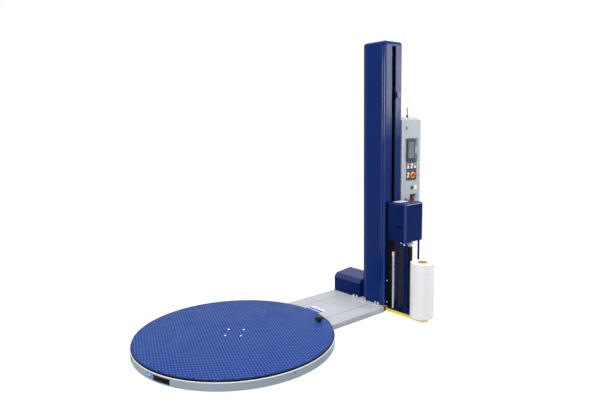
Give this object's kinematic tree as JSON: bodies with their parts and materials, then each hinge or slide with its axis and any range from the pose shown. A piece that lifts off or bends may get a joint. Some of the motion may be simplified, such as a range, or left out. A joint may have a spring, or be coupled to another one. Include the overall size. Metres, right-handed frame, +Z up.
{
  "type": "turntable pallet wrapper",
  "caption": "Free-standing pallet wrapper: a low round turntable on a ring base, a slotted mast with a climbing film carriage, and a control cabinet behind it.",
  "frame": {"origin": "on the floor, on the turntable's axis", "axes": "+X along the base towards the mast, +Y to the side away from the film carriage, +Z up"},
  "size_m": [2.8333, 1.68, 2.521],
  "materials": {
    "base_grey_paint": "satin light grey enamel",
    "skirt_grey_paint": "satin grey enamel",
    "deck_blue_paint": "satin blue enamel on studded plate",
    "mast_blue_paint": "gloss deep blue enamel",
    "zinc_steel": "zinc-plated steel",
    "machined_steel": "machined steel, oiled",
    "motor_grey": "grey-painted castings",
    "black_steel": "matt black enamel",
    "black_rubber": "ground black rubber",
    "black_plastic": "moulded black plastic",
    "panel_plastic": "dark slate moulded plastic",
    "cabinet_grey_paint": "light grey textured powder coat",
    "display_glass": "dark display glass",
    "bumper_yellow_paint": "yellow enamel",
    "film_white": "wound stretch film",
    "core_card": "spiral-wound card",
    "yellow_plastic": "moulded yellow plastic",
    "red_plastic": "moulded red plastic",
    "white_plastic": "moulded white plastic",
    "dark_blue_plastic": "moulded dark blue plastic"
  },
  "bodies": {
    "base": {"base_pan": "skirt_grey_paint", "skirt_ring": "skirt_grey_paint", "fork_tubes": "skirt_grey_paint", "base_channels": "base_grey_paint", "base_cover": "base_grey_paint", "mast_pedestal": "base_grey_paint", "mast_bolts": "zinc_steel", "table_supports": "zinc_steel", "drive_chain": "machined_steel", "gearmotors": "motor_grey", "drive_cover": "mast_blue_paint", "mast_column": "mast_blue_paint", "mast_front_panel": "mast_blue_paint", "mast_cap": "mast_blue_paint", "mast_guides": "zinc_steel", "lift_belt": "black_rubber", "limit_switch": "black_plastic", "cabinet_body": "cabinet_grey_paint", "cabinet_electrics": "black_plastic", "cabinet_fittings": "black_plastic"},
    "turntable": {"table_plate": "deck_blue_paint", "table_hub": "machined_steel", "table_sprocket": "machined_steel", "hub_screws": "zinc_steel"},
    "knob": {"lock_knob": "black_plastic"},
    "wheel_1": {"support_wheel_1": "black_rubber"},
    "wheel_2": {"support_wheel_2": "black_rubber"},
    "wheel_3": {"support_wheel_3": "black_rubber"},
    "wheel_4": {"support_wheel_4": "black_rubber"},
    "motor_sprocket": {"drive_sprocket": "machined_steel"},
    "carriage": {"trolley": "black_steel", "carriage_frame": "mast_blue_paint", "carriage_head": "mast_blue_paint", "carriage_floor": "mast_blue_paint", "stretch_gearmotor": "motor_grey", "roller_bearings": "zinc_steel"},
    "upper_pulley": {"lift_pulley_top": "zinc_steel"},
    "lower_pulley": {"lift_pulley_bottom": "zinc_steel"},
    "foot_guard": {"bumper": "bumper_yellow_paint"},
    "idler": {"idle_roller": "zinc_steel"},
    "fast_roller": {"stretch_roller_fast": "black_rubber", "stretch_shaft_fast": "machined_steel"},
    "slow_roller": {"stretch_roller_slow": "black_rubber", "stretch_shaft_slow": "machined_steel"},
    "film_reel": {"reel_spindle": "black_plastic", "film_core": "core_card", "film_roll": "film_white"},
    "door": {"cabinet_door": "cabinet_grey_paint", "control_panel": "panel_plastic", "hmi_screen": "display_glass", "panel_fittings": "black_plastic", "estop_collar": "yellow_plastic"},
    "red_push": {"button_red": "red_plastic"},
    "white_push": {"button_white": "white_plastic"},
    "dark_push": {"button_dark": "dark_blue_plastic"},
    "yellow_push": {"button_yellow": "yellow_plastic"},
    "stop_push": {"estop_button": "red_plastic"},
    "main_switch": {"switch_handle": "red_plastic"},
    "upper_lock": {"door_lock_upper": "zinc_steel"},
    "lower_lock": {"door_lock_lower": "zinc_steel"}
  },
  "joints": [
    {"name": "turntable_spin", "type": "hinge", "parent": "base", "child": "turntable", "pos_m": [0, 0, 0.073], "axis": [0, 0, 1], "continuous": true},
    {"name": "wheel_1_spin", "type": "hinge", "parent": "base", "child": "wheel_1", "pos_m": [0.45255, 0.45255, 0.0447], "axis": [0.7071, 0.7071, 0], "continuous": true},
    {"name": "wheel_2_spin", "type": "hinge", "parent": "base", "child": "wheel_2", "pos_m": [-0.45255, 0.45255, 0.0447], "axis": [-0.7071, 0.7071, 0], "continuous": true},
    {"name": "wheel_3_spin", "type": "hinge", "parent": "base", "child": "wheel_3", "pos_m": [-0.45255, -0.45255, 0.0447], "axis": [-0.7071, -0.7071, 0], "continuous": true},
    {"name": "wheel_4_spin", "type": "hinge", "parent": "base", "child": "wheel_4", "pos_m": [0.45255, -0.45255, 0.0447], "axis": [0.7071, -0.7071, 0], "continuous": true},
    {"name": "motor_sprocket_spin", "type": "hinge", "parent": "base", "child": "motor_sprocket", "pos_m": [1.602, 0.12, 0.03], "axis": [0, 0, 1], "continuous": true},
    {"name": "lock_knob_turn", "type": "hinge", "parent": "turntable", "child": "knob", "pos_m": [0.69268, -0.27425, 0.1], "axis": [0, 0, 1], "continuous": true},
    {"name": "carriage_lift", "type": "slide", "parent": "base", "child": "carriage", "axis": [0, 0, 1], "range_m": [0, 1.7]},
    {"name": "upper_pulley_spin", "type": "hinge", "parent": "base", "child": "upper_pulley", "pos_m": [1.589, -0.283, 2.4], "axis": [0, 1, 0], "continuous": true},
    {"name": "lower_pulley_spin", "type": "hinge", "parent": "base", "child": "lower_pulley", "pos_m": [1.589, -0.283, 0.13], "axis": [0, 1, 0], "continuous": true},
    {"name": "foot_guard_lift", "type": "slide", "parent": "carriage", "child": "foot_guard", "axis": [0, 0, 1], "range_m": [0, 0.006]},
    {"name": "idler_spin", "type": "hinge", "parent": "carriage", "child": "idler", "pos_m": [1.507, -0.421, 0.3], "axis": [0, 0, 1], "continuous": true},
    {"name": "slow_roller_spin", "type": "hinge", "parent": "carriage", "child": "slow_roller", "pos_m": [1.65994, -0.49092, 0.34], "axis": [0, 0, 1], "continuous": true},
    {"name": "fast_roller_spin", "type": "hinge", "parent": "carriage", "child": "fast_roller", "pos_m": [1.56, -0.466, 0.34], "axis": [0, 0, 1], "continuous": true},
    {"name": "film_reel_spin", "type": "hinge", "parent": "carriage", "child": "film_reel", "pos_m": [1.525, -0.742, 0.29], "axis": [0, 0, 1], "continuous": true},
    {"name": "door_swing", "type": "hinge", "parent": "base", "child": "door", "pos_m": [1.9975, -0.3215, 1.38], "axis": [0, 0, 1], "range_deg": [0, 110]},
    {"name": "red_press", "type": "slide", "parent": "door", "child": "red_push", "axis": [0, 1, 0], "range_m": [0, 0.004], "stiffness_N_per_m": 600, "springref_m": -0.004},
    {"name": "white_press", "type": "slide", "parent": "door", "child": "white_push", "axis": [0, 1, 0], "range_m": [0, 0.004], "stiffness_N_per_m": 600, "springref_m": -0.004},
    {"name": "dark_press", "type": "slide", "parent": "door", "child": "dark_push", "axis": [0, 1, 0], "range_m": [0, 0.004], "stiffness_N_per_m": 600, "springref_m": -0.004},
    {"name": "yellow_press", "type": "slide", "parent": "door", "child": "yellow_push", "axis": [0, 1, 0], "range_m": [0, 0.004], "stiffness_N_per_m": 600, "springref_m": -0.004},
    {"name": "stop_press", "type": "slide", "parent": "door", "child": "stop_push", "axis": [0, 1, 0], "range_m": [0, 0.006]},
    {"name": "main_switch_turn", "type": "hinge", "parent": "door", "child": "main_switch", "pos_m": [1.876, -0.35, 1.061], "axis": [0, 1, 0], "range_deg": [0, 90]},
    {"name": "upper_lock_turn", "type": "hinge", "parent": "door", "child": "upper_lock", "pos_m": [1.782, -0.34, 1.734], "axis": [0, 1, 0], "range_deg": [0, 90]},
    {"name": "lower_lock_turn", "type": "hinge", "parent": "door", "child": "lower_lock", "pos_m": [1.782, -0.34, 1.048], "axis": [0, 1, 0], "range_deg": [0, 90]}
  ],
  "couplings": [
    {"joint": "wheel_1_spin", "follows": "turntable_spin", "ratio": -22.857},
    {"joint": "wheel_2_spin", "follows": "turntable_spin", "ratio": -22.857},
    {"joint": "wheel_3_spin", "follows": "turntable_spin", "ratio": -22.857},
    {"joint": "wheel_4_spin", "follows": "turntable_spin", "ratio": -22.857},
    {"joint": "motor_sprocket_spin", "follows": "turntable_spin", "ratio": 3.8},
    {"joint": "upper_pulley_spin", "follows": "carriage_lift", "rad_per_m": -30.488},
    {"joint": "lower_pulley_spin", "follows": "carriage_lift", "rad_per_m": -30.488},
    {"joint": "fast_roller_spin", "follows": "slow_roller_spin", "ratio": -2.0294}
  ]
}
